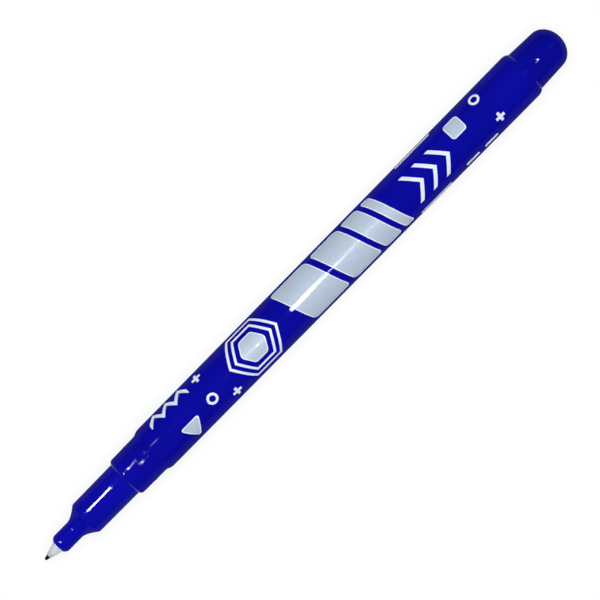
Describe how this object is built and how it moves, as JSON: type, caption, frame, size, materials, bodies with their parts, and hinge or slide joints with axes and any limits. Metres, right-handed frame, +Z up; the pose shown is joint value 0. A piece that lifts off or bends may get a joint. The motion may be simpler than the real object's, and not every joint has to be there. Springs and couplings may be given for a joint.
{
  "type": "fineliner pen",
  "caption": "Round-barrelled fibre-tip fineliner with its cap off: white nib cone, stepped nose and grip, tapered printed barrel with a cap collar, and domed end plug.",
  "frame": {"origin": "on the surface the pen lies on, under the middle of its length", "axes": "+X along the pen from the nib to the end plug, +Z up from the surface it lies on, +Y to the left of someone looking from nib to plug"},
  "size_m": [0.1358, 0.0098, 0.0098],
  "materials": {
    "barrel_plastic": "glossy deep blue moulded polypropylene",
    "front_plastic": "glossy blue moulded polypropylene",
    "nib_acetal": "satin white moulded acetal",
    "nib_fibre": "bonded fibre wet with dark blue ink",
    "filler_fibre": "polyester fibre soaked with blue ink",
    "filler_film": "clear polypropylene film",
    "plug_plastic": "glossy deep blue moulded polypropylene",
    "silver_print": "satin silver printing ink",
    "white_print": "white printing ink"
  },
  "bodies": {
    "pen": {"barrel": "barrel_plastic", "front_section": "front_plastic", "nib_sleeve": "nib_acetal", "fibre_nib": "nib_fibre", "ink_filler": "filler_fibre", "filler_film": "filler_film"},
    "plug": {"end_plug": "plug_plastic"}
  },
  "joints": [
    {"name": "plug_pull", "type": "slide", "parent": "pen", "child": "plug", "axis": [1, 0, 0], "range_m": [0, 0.012]}
  ]
}
